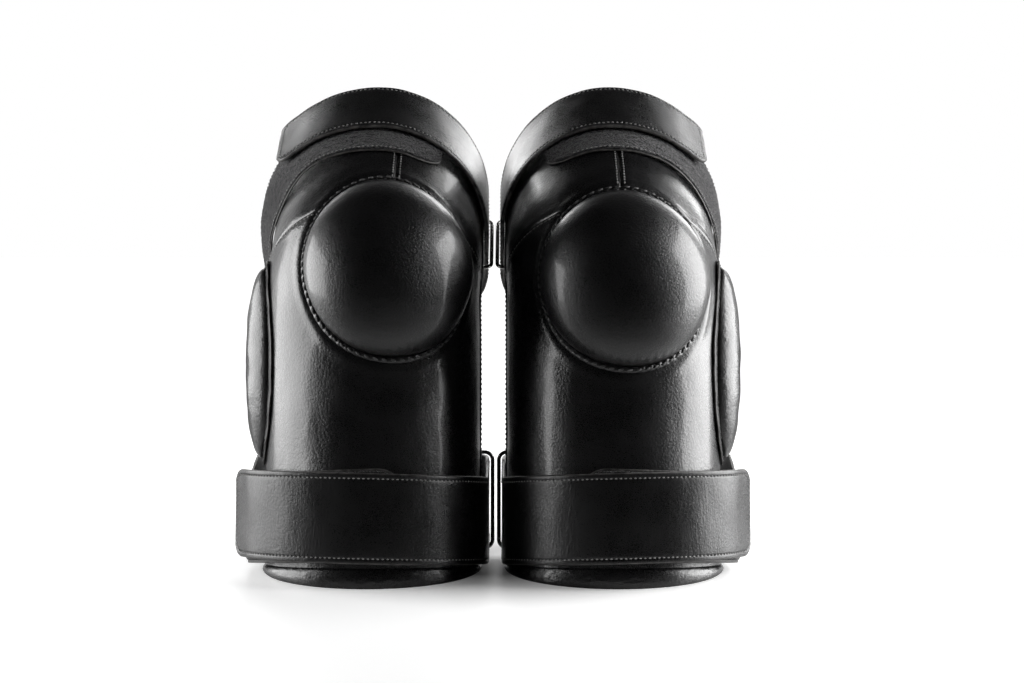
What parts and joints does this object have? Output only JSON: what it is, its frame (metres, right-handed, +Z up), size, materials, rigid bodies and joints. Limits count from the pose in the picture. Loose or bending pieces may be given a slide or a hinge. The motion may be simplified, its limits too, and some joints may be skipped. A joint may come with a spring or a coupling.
{
  "type": "leather knee guards",
  "caption": "Pair of padded black leather knee guards with stitched knee domes, side rolls and wide hook-and-loop straps above and below the knee.",
  "frame": {"origin": "middle of the pair's box, on the floor that the guards stand on", "axes": "+Z up along the legs, -Y to the front of the knees, +X to the wearer's left, across the pair"},
  "size_m": [0.3738, 0.2827, 0.3606],
  "materials": {
    "leather": "semi-gloss black, fine grain",
    "strap_leather": "satin black, stitched round the edge",
    "loop_fabric": "brushed loop face",
    "hook_tape": "woven hook tape",
    "padding_foam": "closed foam",
    "lining_suede": "suede",
    "cup_plastic": "moulded",
    "plated_steel": "dark nickel plate"
  },
  "bodies": {
    "right_guard": {"right_shin_panel": "leather", "right_thigh_panel_inner": "leather", "right_thigh_panel_outer": "leather", "right_padding": "padding_foam", "right_lining": "lining_suede", "right_bottom_rim": "leather", "right_edge_piping": "leather", "right_dome_cover": "leather", "right_dome_cup": "cup_plastic", "right_dome_padding": "padding_foam", "right_roll_welt": "leather", "right_roll_cover": "leather", "right_roll_core": "padding_foam", "right_lower_band": "loop_fabric", "right_lower_strap_root": "strap_leather", "right_lower_ring_tab": "leather", "right_upper_band": "loop_fabric", "right_upper_strap_root": "strap_leather", "right_upper_ring_tab": "leather"},
    "left_guard": {"left_shin_panel": "leather", "left_thigh_panel_inner": "leather", "left_thigh_panel_outer": "leather", "left_padding": "padding_foam", "left_lining": "lining_suede", "left_bottom_rim": "leather", "left_edge_piping": "leather", "left_dome_cover": "leather", "left_dome_cup": "cup_plastic", "left_dome_padding": "padding_foam", "left_roll_welt": "leather", "left_roll_cover": "leather", "left_roll_core": "padding_foam", "left_lower_band": "loop_fabric", "left_lower_strap_root": "strap_leather", "left_lower_ring_tab": "leather", "left_upper_band": "loop_fabric", "left_upper_strap_root": "strap_leather", "left_upper_ring_tab": "leather"},
    "right_lower_strap": {"right_lower_strap_middle": "strap_leather"},
    "right_lower_tip": {"right_lower_strap_tip": "strap_leather", "right_lower_hook_tape": "hook_tape"},
    "right_lower_ring": {"right_lower_ring": "plated_steel"},
    "right_upper_strap": {"right_upper_strap_middle": "strap_leather"},
    "right_upper_tip": {"right_upper_strap_tip": "strap_leather", "right_upper_hook_tape": "hook_tape"},
    "right_upper_ring": {"right_upper_ring": "plated_steel"},
    "left_lower_strap": {"left_lower_strap_middle": "strap_leather"},
    "left_lower_tip": {"left_lower_strap_tip": "strap_leather", "left_lower_hook_tape": "hook_tape"},
    "left_lower_ring": {"left_lower_ring": "plated_steel"},
    "left_upper_strap": {"left_upper_strap_middle": "strap_leather"},
    "left_upper_tip": {"left_upper_strap_tip": "strap_leather", "left_upper_hook_tape": "hook_tape"},
    "left_upper_ring": {"left_upper_ring": "plated_steel"}
  },
  "joints": [
    {"name": "guards_apart", "type": "slide", "parent": "right_guard", "child": "left_guard", "axis": [-1, 0, 0], "range_m": [0, 0.15]},
    {"name": "right_lower_strap_peel", "type": "hinge", "parent": "right_guard", "child": "right_lower_strap", "pos_m": [0.0577, -0.13086, 0.04945], "axis": [0, -0.1392, -0.9903], "range_deg": [0, 80]},
    {"name": "right_lower_tip_peel", "type": "hinge", "parent": "right_lower_strap", "child": "right_lower_tip", "pos_m": [0.14395, -0.12317, 0.04837], "axis": [0, -0.1392, -0.9903], "range_deg": [0, 60]},
    {"name": "right_lower_ring_swing", "type": "hinge", "parent": "right_guard", "child": "right_lower_ring", "pos_m": [0.0198, -0.00482, 0.04314], "axis": [0, -0.1392, -0.9903], "range_deg": [-10, 10]},
    {"name": "right_upper_strap_peel", "type": "hinge", "parent": "right_guard", "child": "right_upper_strap", "pos_m": [0.05709, 0.03043, 0.33867], "axis": [0, -0.8746, -0.4848], "range_deg": [0, 80]},
    {"name": "right_upper_tip_peel", "type": "hinge", "parent": "right_upper_strap", "child": "right_upper_tip", "pos_m": [0.11653, 0.02889, 0.34145], "axis": [0, -0.8746, -0.4848], "range_deg": [0, 60]},
    {"name": "right_upper_ring_swing", "type": "hinge", "parent": "right_guard", "child": "right_upper_ring", "pos_m": [0.0188, 0.08705, 0.23653], "axis": [0, -0.8746, -0.4848], "range_deg": [-10, 10]},
    {"name": "left_lower_strap_peel", "type": "hinge", "parent": "left_guard", "child": "left_lower_strap", "pos_m": [-0.05655, -0.13086, 0.04945], "axis": [0, 0.1392, 0.9903], "range_deg": [0, 80]},
    {"name": "left_lower_tip_peel", "type": "hinge", "parent": "left_lower_strap", "child": "left_lower_tip", "pos_m": [-0.14395, -0.12317, 0.04837], "axis": [0, 0.1392, 0.9903], "range_deg": [0, 60]},
    {"name": "left_lower_ring_swing", "type": "hinge", "parent": "left_guard", "child": "left_lower_ring", "pos_m": [-0.0198, -0.00482, 0.04314], "axis": [0, 0.1392, 0.9903], "range_deg": [-10, 10]},
    {"name": "left_upper_strap_peel", "type": "hinge", "parent": "left_guard", "child": "left_upper_strap", "pos_m": [-0.05709, 0.03043, 0.33867], "axis": [0, 0.8746, 0.4848], "range_deg": [0, 80]},
    {"name": "left_upper_tip_peel", "type": "hinge", "parent": "left_upper_strap", "child": "left_upper_tip", "pos_m": [-0.11798, 0.02889, 0.34145], "axis": [0, 0.8746, 0.4848], "range_deg": [0, 60]},
    {"name": "left_upper_ring_swing", "type": "hinge", "parent": "left_guard", "child": "left_upper_ring", "pos_m": [-0.0188, 0.08705, 0.23653], "axis": [0, 0.8746, 0.4848], "range_deg": [-10, 10]}
  ]
}
